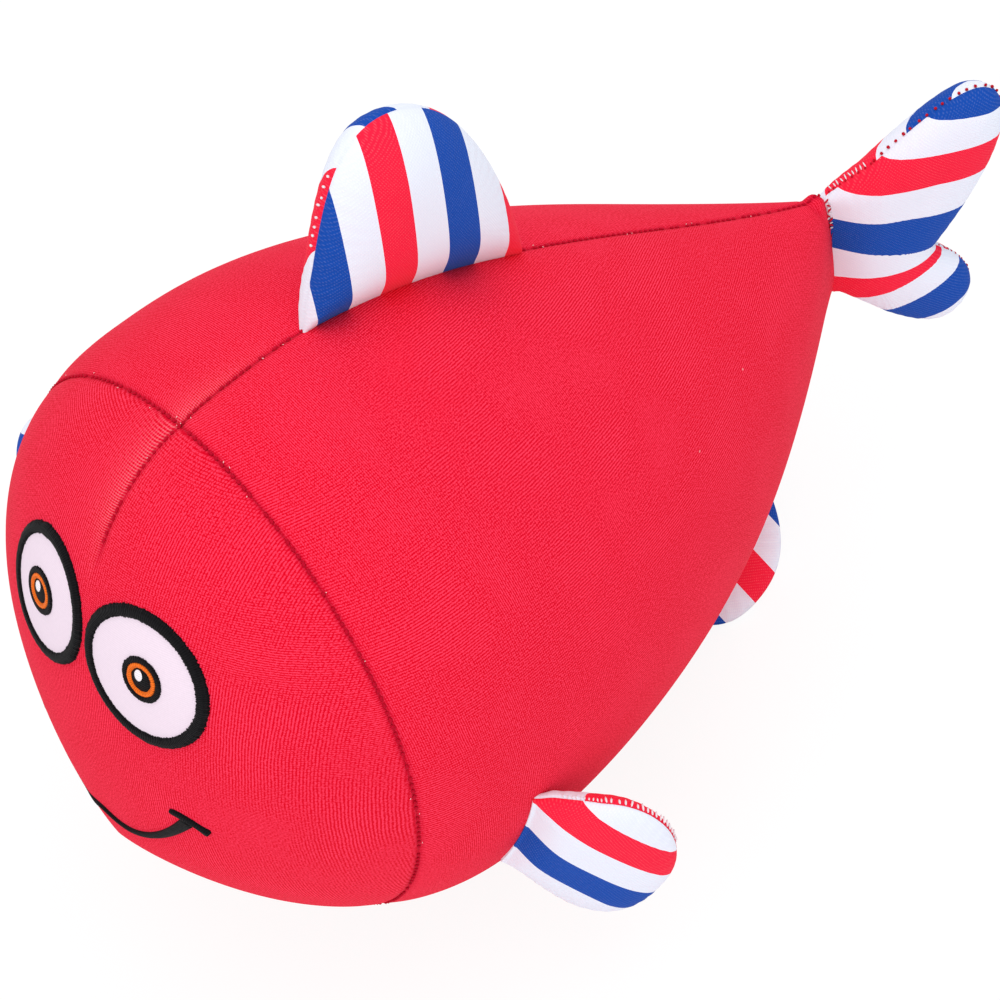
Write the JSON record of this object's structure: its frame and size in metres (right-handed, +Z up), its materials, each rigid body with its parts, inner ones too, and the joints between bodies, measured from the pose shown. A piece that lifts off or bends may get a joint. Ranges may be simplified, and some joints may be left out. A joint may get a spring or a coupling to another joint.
{
  "type": "floating fish dog toy",
  "caption": "Stuffed, sewn fish toy that floats: a plump body with a face panel, embroidered eyes and smile, and padded striped fins that flex at their seams.",
  "frame": {"origin": "on the belly seam in the small flat patch that the toy rests on", "axes": "+Z up, -Y the way the fish looks, +Y towards the tail, +X the left side of the fish"},
  "size_m": [0.1659, 0.24, 0.1734],
  "materials": {
    "red_cloth": "matt stretch knit over thin foam",
    "striped_cloth": "printed stripes of blue, white and red",
    "fibre": "loose polyester fibre",
    "float_foam": "closed-cell foam",
    "squeaker_plastic": "soft moulded plastic",
    "eye_white_cloth": "smooth applique cloth",
    "black_thread": "satin stitch",
    "orange_thread": "satin stitch",
    "white_thread": "satin stitch"
  },
  "bodies": {
    "body": {"face_panel": "red_cloth", "left_side_panel": "red_cloth", "right_side_panel": "red_cloth", "left_stuffing": "fibre", "right_stuffing": "fibre", "float_core": "float_foam", "squeaker_bulb": "squeaker_plastic", "squeaker_reed": "squeaker_plastic", "left_eye_white": "eye_white_cloth", "left_eye_border": "black_thread", "left_eye_iris_outline": "black_thread", "left_eye_iris": "orange_thread", "left_eye_pupil": "black_thread", "left_eye_glint": "white_thread", "right_eye_white": "eye_white_cloth", "right_eye_border": "black_thread", "right_eye_iris_outline": "black_thread", "right_eye_iris": "orange_thread", "right_eye_pupil": "black_thread", "right_eye_glint": "white_thread", "mouth_stitching": "black_thread"},
    "dorsal_fin": {"dorsal_fin_left_face": "striped_cloth", "dorsal_fin_right_face": "striped_cloth", "dorsal_fin_wadding": "fibre"},
    "tail_fin": {"tail_fin_left_face": "striped_cloth", "tail_fin_right_face": "striped_cloth", "tail_fin_wadding": "fibre"},
    "belly_fin": {"belly_fin_right_face": "striped_cloth", "belly_fin_left_face": "striped_cloth", "belly_fin_wadding": "fibre"},
    "left_side_fin": {"left_side_fin_front_face": "striped_cloth", "left_side_fin_rear_face": "striped_cloth", "left_side_fin_wadding": "fibre"},
    "right_side_fin": {"right_side_fin_rear_face": "striped_cloth", "right_side_fin_front_face": "striped_cloth", "right_side_fin_wadding": "fibre"}
  },
  "joints": [
    {"name": "dorsal_fin_flex", "type": "hinge", "parent": "body", "child": "dorsal_fin", "pos_m": [0, 0.0198, 0.13179], "axis": [0, 0.9286, -0.3712], "range_deg": [-30, 30], "stiffness_Nm_per_rad": 0.05},
    {"name": "tail_fin_flex", "type": "hinge", "parent": "body", "child": "tail_fin", "pos_m": [0, 0.1228, 0.057], "axis": [0, 0, 1], "range_deg": [-10, 50], "stiffness_Nm_per_rad": 0.05},
    {"name": "belly_fin_flex", "type": "hinge", "parent": "body", "child": "belly_fin", "pos_m": [0, 0.07231, 0.01374], "axis": [0, 0.9233, 0.3841], "range_deg": [0, 120], "stiffness_Nm_per_rad": 0.05},
    {"name": "left_side_fin_flex", "type": "hinge", "parent": "body", "child": "left_side_fin", "pos_m": [0.05936, -0.0205, 0.047], "axis": [-0.3202, -0.2391, -0.9167], "range_deg": [0, 65], "stiffness_Nm_per_rad": 0.05},
    {"name": "right_side_fin_flex", "type": "hinge", "parent": "body", "child": "right_side_fin", "pos_m": [-0.05936, -0.0205, 0.047], "axis": [0.3202, -0.2391, -0.9167], "range_deg": [0, 70], "stiffness_Nm_per_rad": 0.05}
  ]
}
